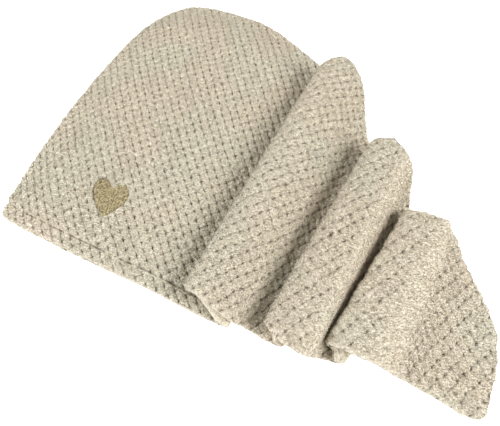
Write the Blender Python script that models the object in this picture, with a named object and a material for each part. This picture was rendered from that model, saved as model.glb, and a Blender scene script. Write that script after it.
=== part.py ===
"""Hair turban towel, lying folded: a two-panel fleece hood whose tail is laid back in three knife pleats.

Units are metres, +Z up. X runs along the hem from the hood to the tail's tip, Y from the hem to the
crown seam. The towel lies on z = 0 and its bounding box is centred on the origin.
"""

import bmesh
import bpy
import numpy as np
from math import cos, pi, sin
from mathutils import Vector
from mathutils.bvhtree import BVHTree

# Driving sizes
FOLDED_LENGTH = 0.350       # hood's left corner to the tail's tip, as the towel lies
HOOD_DEPTH = 0.260          # hem to crown seam
PANEL_WALL = 0.003          # one layer of fleece, pile included
SEAM_GAP = 0.0003           # clearance between sewn layers
FOLD_EASE = 0.0005          # what a fold's bend adds to its inner radius
HOLLOW_HEIGHT = 0.0085      # open height inside the hood
CROWN_REACH = 0.042         # distance from the crown seam at which the hood is fully open
MOUTH_REACH = 0.030         # distance from the hem at which it is fully open
MOUTH_SHARE = 0.74          # how far the mouth stands open, as a share of the hollow
HEM_WIDTH = 0.0105          # turned and stitched edge of the mouth
MOUTH_SETBACK = 0.006       # how far the back hem lies behind the front one
ROLL_RADIUS = 0.0055        # lower curve of a pleat's rolled edge
PLEAT_LOFT = 0.008          # from a rolled edge up to the pleat's crest
PLEAT_SAG = 0.002           # rise of a hidden layer over the one below it
SEAM_ROUND = 0.0035         # width over which a panel thins toward its seam
SEAM_EDGE_SHARE = 0.4       # thickness left at the seam, as a share of the wall
HEART_WIDTH = 0.0264        # embroidered heart on the front panel
HEART_HEIGHT = 0.0279
HEART_THICKNESS = 0.001
HEART_FROM_CORNER = 0.0714  # heart's middle along the hem from the left corner
HEART_FROM_HEM = 0.0409     # heart's middle above the hem
HEART_TURN = 0.114          # radians from the hem's square
HEART_LEAN = -0.14          # sideways drift of the stretched cloth, as a share of the height

# Mesh fineness
HOOD_STEPS = 2
ARC_STEPS = 6
BACK_STEPS = 2
SLOPE_STEPS = 2
PANEL_ROWS = (0.0, 0.05, 0.12, 0.2, 0.28, 0.37, 0.46, 0.55, 0.64, 0.72, 0.79, 0.86, 0.93)
LEAST_ROW_SHARE = 0.7
HEART_RINGS = 4
HEART_STEPS = 2

# Middle height of a double layer that lies on the surface, and the tightest bend of its middle
LAYER_HALF = PANEL_WALL + SEAM_GAP / 2
FOLD_RADIUS = LAYER_HALF + FOLD_EASE

# Ribs are straight lines across the towel from the hem edge to the crown seam.
# hem_x, top_x are shares of FOLDED_LENGTH, hem_y, top_y and bow shares of HOOD_DEPTH,
# hollow is the share of HOLLOW_HEIGHT that the panels stand apart there.
HOOD_COLUMNS = ("hem_x", "hem_y", "top_x", "top_y", "bow", "hollow")
HOOD = (
    (0.005, -0.001, -0.014, 0.764, -0.030, 0.00),
    (0.020, -0.009, 0.004, 0.844, -0.028, 0.22),
    (0.046, -0.013, 0.034, 0.919, -0.024, 0.58),
    (0.080, -0.015, 0.076, 0.970, -0.018, 0.90),
    (0.122, -0.015, 0.132, 0.991, -0.012, 1.00),
    (0.173, -0.015, 0.195, 0.999, -0.006, 1.00),
    (0.234, -0.014, 0.258, 1.000, 0.0, 1.00),
    (0.300, -0.012, 0.324, 0.980, 0.0, 0.92),
    (0.362, -0.008, 0.388, 0.946, 0.0, 0.58),
    (0.420, -0.008, 0.448, 0.909, 0.0, 0.16),
    (0.462, -0.009, 0.500, 0.872, 0.0, 0.00),
)

# A fold turns the towel back at its valley, brings it left to its rolled edge and over its crest.
# valley and edge give where the turn reaches farthest; run is from the edge to the crest.
# roll is a share of ROLL_RADIUS, rise of PLEAT_SAG, loft of PLEAT_LOFT.
FOLD_COLUMNS = ("valley_x", "valley_y", "edge_x", "edge_y", "roll", "rise", "run", "loft", "crest_y")
FOLDS = (
    {"hem": (0.531, -0.006, 0.443, 0.034, 0.84, 0.40, 0.040, 0.96, 0.022),
     "top": (0.569, 0.815, 0.476, 0.838, 1.00, 1.00, 0.036, 1.00, 0.884)},
    {"hem": (0.636, 0.010, 0.603, 0.041, 0.80, 0.40, 0.034, 0.80, 0.015),
     "top": (0.694, 0.577, 0.653, 0.636, 0.95, 1.00, 0.034, 1.00, 0.657)},
    {"hem": (0.744, 0.035, 0.714, 0.060, 0.76, 0.25, 0.080, 0.62, 0.066),
     "top": (0.808, 0.415, 0.770, 0.475, 0.91, 0.75, 0.069, 0.76, 0.479)},
)

# Ribs from each crest down to the next fold or the tail's tip.
# lift is the share of the crest's height above the surface that the rib still has.
SLOPE_COLUMNS = ("hem_x", "hem_y", "hem_lift", "top_x", "top_y", "top_lift")
SLOPES = (
    ((0.500, 0.018, 0.93, 0.534, 0.879, 0.93),
     (0.520, 0.012, 0.80, 0.559, 0.857, 0.78),
     (0.540, 0.009, 0.58, 0.582, 0.823, 0.53),
     (0.563, 0.014, 0.22, 0.604, 0.766, 0.27),
     (0.589, 0.012, 0.02, 0.628, 0.714, 0.06)),
    ((0.663, 0.012, 0.98, 0.700, 0.647, 0.98),
     (0.682, 0.012, 0.87, 0.718, 0.630, 0.92),
     (0.692, 0.018, 0.46, 0.743, 0.618, 0.44),
     (0.707, 0.026, 0.12, 0.761, 0.563, 0.12)),
    ((0.814, 0.064, 0.93, 0.846, 0.464, 0.93),
     (0.834, 0.063, 0.70, 0.866, 0.441, 0.76),
     (0.857, 0.066, 0.40, 0.892, 0.406, 0.52),
     (0.883, 0.065, 0.17, 0.922, 0.375, 0.30),
     (0.911, 0.065, 0.04, 0.949, 0.347, 0.14),
     (0.940, 0.062, 0.00, 0.973, 0.310, 0.05),
     (0.966, 0.059, 0.00, 0.994, 0.260, 0.00),
     (0.986, 0.062, 0.00, 1.002, 0.190, 0.00),
     (0.997, 0.069, 0.00, 1.000, 0.103, 0.00)),
)

# Dents pressed into the hood's front: middle and half length along the dent, turn from the hem,
# half width and depth. x and length are shares of FOLDED_LENGTH, y and width of HOOD_DEPTH,
# depth of HOLLOW_HEIGHT.
DENT_COLUMNS = ("x", "y", "length", "width", "turn", "depth")
DENTS = (
    (0.225, 0.755, 0.190, 0.030, -0.10, 0.16),
    (0.040, 0.290, 0.070, 0.050, -1.00, 0.22),
    (0.360, 0.145, 0.060, 0.035, -0.80, 0.20),
    (0.410, 0.170, 0.060, 0.035, -0.80, 0.16),
)

# Right half of the heart's outline from its notch to its tip, as shares of its width and height.
HEART = (
    (0.000, 0.298),
    (0.156, 0.448),
    (0.303, 0.500),
    (0.434, 0.415),
    (0.500, 0.235),
    (0.443, -0.017),
    (0.216, -0.305),
    (0.000, -0.500),
)

FLEECE_COLOUR = (0.68, 0.62, 0.49, 1.0)
HEART_COLOUR = (0.42, 0.34, 0.20, 1.0)

# Places in a rib's row of numbers
HEM = slice(0, 3)
TOP = slice(3, 6)
BOW = 6
HOLLOW = 7


def clear_scene():
    for old in list(bpy.data.objects):
        bpy.data.objects.remove(old, do_unlink=True)


def smooth_step(share):
    return share * share * (3 - 2 * share)


def catmull_rom(rows, steps):
    """Rows on a smooth curve through the given rows, with `steps` to each span."""
    rows = np.asarray(rows, float)
    before = 2 * rows[0] - rows[1]
    after = 2 * rows[-1] - rows[-2]
    ends = np.vstack([before, rows, after])
    curve = []
    for index in range(len(rows) - 1):
        a, b, c, d = ends[index:index + 4]
        for t in np.arange(steps) / steps:
            cubic = (3 * b - a - 3 * c + d) * t + (2 * a - 5 * b + 4 * c - d)
            curve.append(b + 0.5 * t * ((c - a) + cubic * t))
    curve.append(rows[-1])
    return np.array(curve)


def hood_ribs():
    """Ribs of the hood, from its left seam to under the first pleat."""
    ribs = []
    for values in HOOD:
        row = dict(zip(HOOD_COLUMNS, values))
        ribs.append([row["hem_x"] * FOLDED_LENGTH, row["hem_y"] * HOOD_DEPTH, LAYER_HALF,
                     row["top_x"] * FOLDED_LENGTH, row["top_y"] * HOOD_DEPTH, LAYER_HALF,
                     row["bow"] * HOOD_DEPTH, row["hollow"]])
    return ribs


def fold_end(columns):
    """Sizes in metres of one end of a fold, hem or top."""
    size = dict(zip(FOLD_COLUMNS, columns))
    for name in ("valley_x", "edge_x", "run"):
        size[name] *= FOLDED_LENGTH
    for name in ("valley_y", "edge_y", "crest_y"):
        size[name] *= HOOD_DEPTH
    size["roll"] *= ROLL_RADIUS
    size["under"] = LAYER_HALF + 2 * FOLD_RADIUS
    size["edge_low"] = size["under"] + size["rise"] * PLEAT_SAG
    size["edge_z"] = size["edge_low"] + size["roll"]
    size["crest_z"] = size["edge_z"] + size["loft"] * PLEAT_LOFT
    return size


def valley_point(end, turn):
    """Point of the valley's half circle; turn runs 0 to 1 from the surface up and back."""
    angle = pi * (turn - 0.5)
    return [end["valley_x"] - FOLD_RADIUS + FOLD_RADIUS * cos(angle), end["valley_y"],
            LAYER_HALF + FOLD_RADIUS + FOLD_RADIUS * sin(angle)]


def back_point(end, share):
    """Point of the hidden layer between the valley and the rolled edge."""
    start_x = end["valley_x"] - FOLD_RADIUS
    stop_x = end["edge_x"] + end["roll"]
    return [start_x + (stop_x - start_x) * share,
            end["valley_y"] + (end["edge_y"] - end["valley_y"]) * share,
            end["under"] + (end["edge_low"] - end["under"]) * smooth_step(share)]


def edge_point(end, turn):
    """Point of the rolled edge: a quarter circle out to the edge, then a quarter ellipse to the crest."""
    angle = pi * (turn + 0.5)
    if turn <= 0.5:
        reach, height, drift = end["roll"], end["roll"], 0.0
    else:
        reach, height, drift = end["run"], end["crest_z"] - end["edge_z"], 2 * turn - 1
    return [end["edge_x"] + reach + reach * cos(angle),
            end["edge_y"] + (end["crest_y"] - end["edge_y"]) * drift,
            end["edge_z"] - height * sin(angle)]


def paired_rib(hem, top):
    """A straight rib with the panels closed on one another."""
    return hem + top + [0.0, 0.0]


def slope_ribs(fold, rows):
    """Ribs from a fold's crest down to where the towel lies on the surface again."""
    ribs = []
    for values in rows:
        row = dict(zip(SLOPE_COLUMNS, values))
        ends = []
        for side in ("hem", "top"):
            rise = (fold[side]["crest_z"] - LAYER_HALF) * row[side + "_lift"]
            ends.append([row[side + "_x"] * FOLDED_LENGTH, row[side + "_y"] * HOOD_DEPTH,
                         LAYER_HALF + rise])
        ribs.append(paired_rib(*ends))
    return ribs


def towel_ribs():
    """All ribs from the left seam to the tail's tip, and how many belong to the mouth's hem."""
    ribs = []
    run = hood_ribs()
    run_steps = HOOD_STEPS
    hem_ribs = 0
    for columns, rows in zip(FOLDS, SLOPES):
        fold = {side: fold_end(columns[side]) for side in ("hem", "top")}
        valley = paired_rib(valley_point(fold["hem"], 0), valley_point(fold["top"], 0))
        ribs.extend(catmull_rom(run + [valley], run_steps)[:-1])
        for step in range(ARC_STEPS + 1):
            turn = step / ARC_STEPS
            ribs.append(paired_rib(valley_point(fold["hem"], turn), valley_point(fold["top"], turn)))
        if not hem_ribs:
            hem_ribs = len(ribs)
        for step in range(1, BACK_STEPS):
            share = step / BACK_STEPS
            ribs.append(paired_rib(back_point(fold["hem"], share), back_point(fold["top"], share)))
        for step in range(ARC_STEPS + 1):
            turn = step / ARC_STEPS
            ribs.append(paired_rib(edge_point(fold["hem"], turn), edge_point(fold["top"], turn)))
        run = [ribs.pop()] + slope_ribs(fold, rows)
        run_steps = SLOPE_STEPS
    ribs.extend(catmull_rom(run, 1))
    return np.array(ribs), hem_ribs


def middle_points(ribs, shares):
    """Points of the towel's middle: one row for each rib, at the rib's own shares of its length."""
    hem = ribs[:, None, HEM]
    top = ribs[:, None, TOP]
    points = hem + (top - hem) * shares[..., None]
    points[..., 0] += ribs[:, None, BOW] * 4 * shares * (1 - shares)
    points[..., 2] = np.maximum(points[..., 2], LAYER_HALF)
    return points


def layer_normals(ribs):
    """Upward side of the towel at every rib, as the ribs run straight across it."""
    middle = (ribs[:, HEM] + ribs[:, TOP]) / 2
    middle[:, 1] = 0
    middle[:, 2] = np.maximum(middle[:, 2], LAYER_HALF)
    along = np.gradient(middle, axis=0)
    normals = np.stack([-along[:, 2], np.zeros(len(along)), along[:, 0]], axis=1)
    return normals / np.linalg.norm(normals, axis=1)[:, None]


def rib_lengths(ribs):
    return ribs[:, TOP.start + 1] - ribs[:, HEM.start + 1]


def dent_depth(points):
    """How far the hood's front is pressed in at each point."""
    depth = np.zeros(points.shape[:2])
    for values in DENTS:
        dent = dict(zip(DENT_COLUMNS, values))
        turn = dent["turn"]
        from_x = points[..., 0] - dent["x"] * FOLDED_LENGTH
        from_y = points[..., 1] - dent["y"] * HOOD_DEPTH
        along = (from_x * cos(turn) + from_y * sin(turn)) / (dent["length"] * FOLDED_LENGTH)
        across = (from_y * cos(turn) - from_x * sin(turn)) / (dent["width"] * HOOD_DEPTH)
        depth += dent["depth"] * HOLLOW_HEIGHT * np.exp(-along ** 2 - across ** 2)
    return depth


def hollow_height(ribs, shares, points):
    """Distance between the panels: the hood stands open, its seams and the tail lie closed."""
    from_hem = shares * rib_lengths(ribs)[:, None]
    from_top = (1 - shares) * rib_lengths(ribs)[:, None]
    closing = smooth_step(np.clip(from_top / CROWN_REACH, 0, 1))
    opening = smooth_step(np.clip(from_hem / MOUTH_REACH, 0, 1))
    opening = MOUTH_SHARE + (1 - MOUTH_SHARE) * opening
    open_share = ribs[:, HOLLOW][:, None] * closing * opening
    height = open_share * (HOLLOW_HEIGHT - dent_depth(points))
    return SEAM_GAP + np.maximum(height, 0)


def wall_share(ribs, shares):
    """Thickness of the wall as a share of PANEL_WALL: panels thin to their sewn edges."""
    share = np.ones(shares.shape)
    at_seam = (1 - shares) * rib_lengths(ribs)[:, None] < SEAM_ROUND / 2
    share[at_seam] = SEAM_EDGE_SHARE
    share[0] = SEAM_EDGE_SHARE
    share[-1] = SEAM_EDGE_SHARE
    return share


def layer_faces(ribs, shares, side):
    """Inner and outer faces of one layer; side is 1 for the front and -1 for the back."""
    points = middle_points(ribs, shares)
    gap = hollow_height(ribs, shares, points)
    normals = layer_normals(ribs)[:, None, :]
    points[..., 2] += (gap - SEAM_GAP) / 2
    inner = points + side * normals * (gap / 2)[..., None]
    wall = PANEL_WALL * wall_share(ribs, shares)
    outer = inner + side * normals * wall[..., None]
    return inner, outer


def grid_solid(inner, outer):
    """Closed shell between two grids of points that match one another."""
    rows, columns = inner.shape[:2]
    verts = np.concatenate([inner.reshape(-1, 3), outer.reshape(-1, 3)])
    shift = rows * columns

    def cell(row, column):
        corner = row * columns + column
        return corner, corner + columns, corner + columns + 1, corner + 1

    faces = []
    for row in range(rows - 1):
        for column in range(columns - 1):
            a, b, c, d = cell(row, column)
            faces.append((a, b, c, d))
            faces.append((d + shift, c + shift, b + shift, a + shift))
    rim = [(row, 0) for row in range(rows)]
    rim += [(rows - 1, column) for column in range(1, columns)]
    rim += [(row, columns - 1) for row in range(rows - 2, -1, -1)]
    rim += [(0, column) for column in range(columns - 2, 0, -1)]
    for (row, column), (next_row, next_column) in zip(rim, rim[1:] + rim[:1]):
        here = row * columns + column
        there = next_row * columns + next_column
        faces.append((here, there, there + shift, here + shift))
    return verts, faces


def panel_shares(ribs, hem_ribs, setback):
    """Shares along each rib where a panel's rows lie, between its hem band and its seam."""
    width = rib_lengths(ribs)
    start = np.zeros(len(ribs))
    band = HEM_WIDTH + SEAM_GAP + setback * ribs[:hem_ribs, HOLLOW]
    start[:hem_ribs] = band / width[:hem_ribs]
    near_seam = np.maximum(1 - SEAM_ROUND / width, LEAST_ROW_SHARE)[:, None]
    rows = np.array(PANEL_ROWS) / PANEL_ROWS[-1]
    inner = start[:, None] + (near_seam - start[:, None]) * rows
    return np.hstack([inner, np.ones((len(ribs), 1))])


def band_shares(ribs, setback):
    """Shares along each rib of a hem band's two edges."""
    width = rib_lengths(ribs)
    start = setback * ribs[:, HOLLOW] / width
    return np.stack([start, start + HEM_WIDTH / width], axis=1)


def heart_outline():
    """Points round the heart on the flat, in metres about its middle."""
    right = catmull_rom(HEART, HEART_STEPS)
    left = right[-2:0:-1] * (-1, 1)
    outline = np.concatenate([right, left]) * (HEART_WIDTH, HEART_HEIGHT)
    outline[:, 0] += HEART_LEAN * outline[:, 1]
    turn = np.array([[cos(HEART_TURN), -sin(HEART_TURN)], [sin(HEART_TURN), cos(HEART_TURN)]])
    return outline @ turn.T


def heart_solid(front_verts, front_faces):
    """Embroidered heart as a thin solid that follows the front panel beneath it."""
    ground = BVHTree.FromPolygons([Vector(v) for v in front_verts], front_faces)
    outline = heart_outline()
    count = len(outline)
    flat = [np.zeros((1, 2))]
    for ring in range(1, HEART_RINGS + 1):
        flat.append(outline * ring / HEART_RINGS)
    flat = np.concatenate(flat) + (HEART_FROM_CORNER, HEART_FROM_HEM)
    low = []
    for x, y in flat:
        hit = ground.ray_cast(Vector((x, y, FOLDED_LENGTH)), Vector((0, 0, -1)))[0]
        low.append((x, y, hit.z + SEAM_GAP))
    low = np.array(low)
    high = low + (0, 0, HEART_THICKNESS)
    shift = len(low)
    verts = np.concatenate([low, high])
    faces = []
    for point in range(count):
        after = (point + 1) % count
        faces.append((0, 1 + after, 1 + point))
        faces.append((shift, shift + 1 + point, shift + 1 + after))
        for ring in range(1, HEART_RINGS):
            a = 1 + (ring - 1) * count
            b = a + count
            faces.append((a + point, a + after, b + after, b + point))
            faces.append((shift + b + point, shift + b + after, shift + a + after, shift + a + point))
        rim = 1 + (HEART_RINGS - 1) * count
        faces.append((rim + point, rim + after, shift + rim + after, shift + rim + point))
    return verts, faces


def cloth_material(name, colour, roughness):
    material = bpy.data.materials.new(name)
    material.use_nodes = True
    shader = material.node_tree.nodes["Principled BSDF"]
    shader.inputs["Base Color"].default_value = colour
    shader.inputs["Roughness"].default_value = roughness
    shader.inputs["Metallic"].default_value = 0.0
    return material


def add_piece(name, verts, faces, material):
    mesh = bpy.data.meshes.new(name)
    mesh.from_pydata([tuple(v) for v in verts], [], faces)
    shell = bmesh.new()
    shell.from_mesh(mesh)
    bmesh.ops.triangulate(shell, faces=shell.faces[:])
    bmesh.ops.recalc_face_normals(shell, faces=shell.faces[:])
    shell.to_mesh(mesh)
    shell.free()
    mesh.shade_smooth()
    mesh.materials.append(material)
    piece = bpy.data.objects.new(name, mesh)
    bpy.context.scene.collection.objects.link(piece)
    return piece


def build_towel():
    clear_scene()
    ribs, hem_ribs = towel_ribs()
    solids = {}
    for name, side, setback in (("front", 1, 0.0), ("back", -1, MOUTH_SETBACK)):
        shares = panel_shares(ribs, hem_ribs, setback)
        solids[name + "_panel"] = grid_solid(*layer_faces(ribs, shares, side))
        mouth = ribs[:hem_ribs - 1]
        band = band_shares(mouth, setback)
        solids[name + "_hem"] = grid_solid(*layer_faces(mouth, band, side))
    solids["heart_patch"] = heart_solid(*solids["front_panel"])

    every = np.concatenate([verts for verts, faces in solids.values()])
    low, high = every.min(axis=0), every.max(axis=0)
    origin = np.array([(low[0] + high[0]) / 2, (low[1] + high[1]) / 2, low[2]])
    fleece = cloth_material("waffle_fleece", FLEECE_COLOUR, 0.95)
    thread = cloth_material("satin_stitch_thread", HEART_COLOUR, 0.6)
    for name, (verts, faces) in solids.items():
        material = thread if name == "heart_patch" else fleece
        add_piece(name, verts - origin, faces, material)


build_towel()
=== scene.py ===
"""Hair turban towel, lying folded: cream coral fleece with an embroidered heart.

Units are metres. X runs along the hem from the hood to the tail's tip, Y from the hem to the crown
seam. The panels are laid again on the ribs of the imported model, finely enough to carry the cloth's
lattice of pits, and stand in for its plain walls.
"""

from math import cos, pi, sin

import bpy
import numpy as np
from mathutils import Matrix, Vector
from mathutils.bvhtree import BVHTree


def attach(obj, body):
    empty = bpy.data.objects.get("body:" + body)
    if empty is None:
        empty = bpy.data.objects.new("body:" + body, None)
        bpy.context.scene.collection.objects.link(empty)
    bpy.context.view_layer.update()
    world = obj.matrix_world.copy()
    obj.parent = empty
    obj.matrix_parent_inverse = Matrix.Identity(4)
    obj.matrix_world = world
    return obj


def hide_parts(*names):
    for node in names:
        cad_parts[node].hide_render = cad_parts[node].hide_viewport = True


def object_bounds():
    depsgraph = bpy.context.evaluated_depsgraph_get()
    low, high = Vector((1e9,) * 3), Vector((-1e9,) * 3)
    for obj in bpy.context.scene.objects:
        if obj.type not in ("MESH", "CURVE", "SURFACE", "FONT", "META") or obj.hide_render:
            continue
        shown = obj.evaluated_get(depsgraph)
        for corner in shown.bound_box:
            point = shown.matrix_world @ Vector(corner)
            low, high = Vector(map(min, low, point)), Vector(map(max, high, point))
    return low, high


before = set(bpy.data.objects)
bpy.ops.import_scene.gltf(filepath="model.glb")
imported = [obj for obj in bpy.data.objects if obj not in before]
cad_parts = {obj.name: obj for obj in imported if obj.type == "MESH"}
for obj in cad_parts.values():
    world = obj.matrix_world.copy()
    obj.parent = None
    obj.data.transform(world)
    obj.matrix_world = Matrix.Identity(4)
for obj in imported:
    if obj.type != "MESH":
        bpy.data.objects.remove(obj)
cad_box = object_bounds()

# The towel's sizes
FOLDED_LENGTH = 0.350
HOOD_DEPTH = 0.260
PANEL_WALL = 0.003
SEAM_GAP = 0.0003
FOLD_EASE = 0.0005
HOLLOW_HEIGHT = 0.0085
CROWN_REACH = 0.042
MOUTH_REACH = 0.030
MOUTH_SHARE = 0.74
HEM_WIDTH = 0.0105
MOUTH_SETBACK = 0.006
ROLL_RADIUS = 0.0055
PLEAT_LOFT = 0.008
PLEAT_SAG = 0.002
HEART_WIDTH = 0.0264
HEART_HEIGHT = 0.0279
HEART_FROM_CORNER = 0.0714
HEART_FROM_HEM = 0.0409
HEART_TURN = 0.114
HEART_LEAN = -0.14

# How finely the cloth is laid
RIB_STEPS = 16              # ribs worked out to each span of the tables
FINE_STEP = 0.00095         # distance between ribs, and between rows, on what shows
HIDDEN_STEP = 0.003
BACK_STEP = 0.0016
LINING_SKIP = 4             # the lining takes every fourth rib and row
EDGE_RINGS = 6
RUN_LEVELS = (-0.02, 0.28, 61)  # where in Y the cloth's run is measured: first, last and how many
MAP_MARGIN = 0.01           # bare edge of a sheet's flat map
OUTER_SHARE = 0.80          # how much of the map's width the outer face takes

# An edge's width and the share of the wall that is left at its very end
FREE_EDGE = (0.0042, 0.12)
SEWN_EDGE = (0.0048, 0.15)
NO_EDGE = (0.0, 1.0)

LAYER_HALF = PANEL_WALL + SEAM_GAP / 2
FOLD_RADIUS = LAYER_HALF + FOLD_EASE

# The cloth's diamond lattice: pits at the corners and the middle of a cell, shallow grooves between
CELL_ALONG = 0.00833        # along the hem
CELL_ACROSS = 0.00921       # from the hem to the crown
DRIFT_SIZE = 0.0048
PIT_DEPTH = 0.0016
PIT_WIDE = 0.08             # half width and half length, as shares of the way to the next pit
PIT_LONG = 0.17
PIT_STRENGTH = (0.6, 0.4)   # of the weakest pit, and how much more the strongest has
GROOVE_WIDE = 0.11
GROOVE_DEPTH = 0.0006
CROSS_GROOVE = 0.65         # strength of the grooves that cross the main ones
GROOVE_REACH = 0.50         # how far a groove runs from its pit, as a share of the way to the next
GROOVE_SHADE = 0.55         # how dark the painted shade is down in a groove, next to a pit's 1
TUFT_LIFT = 0.00030
TUFT_POWER = 0.6            # below 1 it makes the tufts broad
OPEN_REACH = 0.007          # how far into a fold's hidden turn the pile still stands
MOST_SUNK = 0.6             # deepest relief, as a share of the wall there
PRESSED_RELIEF = 0.9        # share of the tufts and pits that is lost where the pile lies flat
PRESSED_CURLS = 0.5         # and of the curls
CREASE_WIDTH = 0.0013       # width of the painted shade beside the hem's seam
CREASE_LUMP = CELL_ALONG / 3    # size of the lumps in which its painted shade varies
CREASE_SHADE = (0.45, 0.35)  # how dark the painted shade is there, and how much that varies along the seam
HEART_EDGE_SHADE = (1.0, 0.35)  # how dark the painted shade of the crease is left of the heart, and right of it
HEART_CREASE_WIDTH = 0.0020
CURL_SIZES = (0.0042, 0.0021, 0.0011)
CURL_LIFTS = (0.00035, 0.00030, 0.00022)
FOLD_STRETCH = (1.0, 1.0, 1.07, 1.15)   # of the cells on the hood and on each pleat
FOLD_DRIFT = (0.07, 0.15, 0.16, 0.14)   # how far pits stray there, as shares of the way to the next
FOLD_PITS = (1.0, 0.85, 0.85, 0.75)     # how dark the pits' painted shade is there

# Ribs are straight lines across the towel from the hem edge to the crown seam.
# hem_x, top_x are shares of FOLDED_LENGTH, hem_y, top_y and bow shares of HOOD_DEPTH,
# hollow is the share of HOLLOW_HEIGHT that the panels stand apart there.
HOOD_COLUMNS = ("hem_x", "hem_y", "top_x", "top_y", "bow", "hollow")
HOOD = (
    (0.005, -0.001, -0.014, 0.764, -0.030, 0.00),
    (0.020, -0.009, 0.004, 0.844, -0.028, 0.22),
    (0.046, -0.013, 0.034, 0.919, -0.024, 0.58),
    (0.080, -0.015, 0.076, 0.970, -0.018, 0.90),
    (0.122, -0.015, 0.132, 0.991, -0.012, 1.00),
    (0.173, -0.015, 0.195, 0.999, -0.006, 1.00),
    (0.234, -0.014, 0.258, 1.000, 0.0, 1.00),
    (0.300, -0.012, 0.324, 0.980, 0.0, 0.92),
    (0.362, -0.008, 0.388, 0.946, 0.0, 0.58),
    (0.420, -0.008, 0.448, 0.909, 0.0, 0.16),
    (0.462, -0.009, 0.500, 0.872, 0.0, 0.00),
)

# A fold turns the towel back at its valley, brings it left to its rolled edge and over its crest.
# valley and edge give where the turn reaches farthest; run is from the edge to the crest.
# roll is a share of ROLL_RADIUS, rise of PLEAT_SAG, loft of PLEAT_LOFT.
FOLD_COLUMNS = ("valley_x", "valley_y", "edge_x", "edge_y", "roll", "rise", "run", "loft", "crest_y")
FOLDS = (
    {"hem": (0.531, -0.006, 0.443, 0.034, 0.84, 0.40, 0.040, 0.96, 0.022),
     "top": (0.569, 0.815, 0.476, 0.838, 1.00, 1.00, 0.036, 1.00, 0.884)},
    {"hem": (0.636, 0.010, 0.603, 0.041, 0.80, 0.40, 0.034, 0.80, 0.015),
     "top": (0.694, 0.577, 0.653, 0.636, 0.95, 1.00, 0.034, 1.00, 0.657)},
    {"hem": (0.744, 0.035, 0.714, 0.060, 0.76, 0.25, 0.080, 0.62, 0.066),
     "top": (0.808, 0.415, 0.770, 0.475, 0.91, 0.75, 0.069, 0.76, 0.479)},
)

# Ribs from each crest down to the next fold or the tail's tip.
# lift is the share of the crest's height above the surface that the rib still has.
SLOPE_COLUMNS = ("hem_x", "hem_y", "hem_lift", "top_x", "top_y", "top_lift")
SLOPES = (
    ((0.500, 0.018, 0.93, 0.534, 0.879, 0.93),
     (0.520, 0.012, 0.80, 0.559, 0.857, 0.78),
     (0.540, 0.009, 0.58, 0.582, 0.823, 0.53),
     (0.563, 0.014, 0.22, 0.604, 0.766, 0.27),
     (0.589, 0.012, 0.02, 0.628, 0.714, 0.06)),
    ((0.663, 0.012, 0.98, 0.700, 0.647, 0.98),
     (0.682, 0.012, 0.87, 0.718, 0.630, 0.92),
     (0.692, 0.018, 0.46, 0.743, 0.618, 0.44),
     (0.707, 0.026, 0.12, 0.761, 0.563, 0.12)),
    ((0.814, 0.064, 0.93, 0.846, 0.464, 0.93),
     (0.834, 0.063, 0.70, 0.866, 0.441, 0.76),
     (0.857, 0.066, 0.40, 0.892, 0.406, 0.52),
     (0.883, 0.065, 0.17, 0.922, 0.375, 0.30),
     (0.911, 0.065, 0.04, 0.949, 0.347, 0.14),
     (0.940, 0.062, 0.00, 0.973, 0.310, 0.05),
     (0.966, 0.059, 0.00, 0.994, 0.260, 0.00),
     (0.986, 0.062, 0.00, 1.002, 0.190, 0.00),
     (0.997, 0.069, 0.00, 1.000, 0.103, 0.00)),
)

# Dents pressed into the hood's front: middle and half length along the dent, turn from the hem,
# half width and depth. x and length are shares of FOLDED_LENGTH, y and width of HOOD_DEPTH,
# depth of HOLLOW_HEIGHT.
DENT_COLUMNS = ("x", "y", "length", "width", "turn", "depth")
DENTS = (
    (0.225, 0.755, 0.190, 0.030, -0.10, 0.16),
    (0.040, 0.290, 0.070, 0.050, -1.00, 0.22),
    (0.360, 0.145, 0.060, 0.035, -0.80, 0.20),
    (0.410, 0.170, 0.060, 0.035, -0.80, 0.16),
)

# Low swells and creases on the tail's open face, in the same shares; height is in metres, up.
SWELL_COLUMNS = ("x", "y", "length", "width", "turn", "height")
SWELLS = (
    (0.984, 0.092, 0.018, 0.024, 0.00, 0.0034),
    (0.963, 0.080, 0.022, 0.008, 1.25, -0.0012),
    (0.918, 0.092, 0.055, 0.006, 0.03, -0.0014),
    (0.905, 0.178, 0.050, 0.012, -0.90, -0.0012),
    (0.948, 0.135, 0.030, 0.011, -0.80, -0.0012),
    (0.922, 0.128, 0.030, 0.012, -0.90, 0.0008),
    (0.846, 0.400, 0.030, 0.030, 0.00, -0.0015),
)

# Bands where the pile lies pressed smooth, by the pleat they run over: their ends as shares of
# FOLDED_LENGTH and HOOD_DEPTH, and their half width in metres at each end.
SMOOTH_COLUMNS = ("pleat", "hem_x", "hem_y", "hem_half", "top_x", "top_y", "top_half")
SMOOTH_BANDS = (
    (2, 0.690, 0.020, 0.0075, 0.735, 0.640, 0.0060),
    (3, 0.806, 0.100, 0.0120, 0.842, 0.480, 0.0050),
)

# Right half of the heart's outline from its notch to its tip, as shares of its width and height.
HEART = (
    (0.000, 0.298),
    (0.156, 0.448),
    (0.303, 0.500),
    (0.434, 0.415),
    (0.500, 0.235),
    (0.443, -0.017),
    (0.216, -0.305),
    (0.000, -0.500),
)

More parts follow.
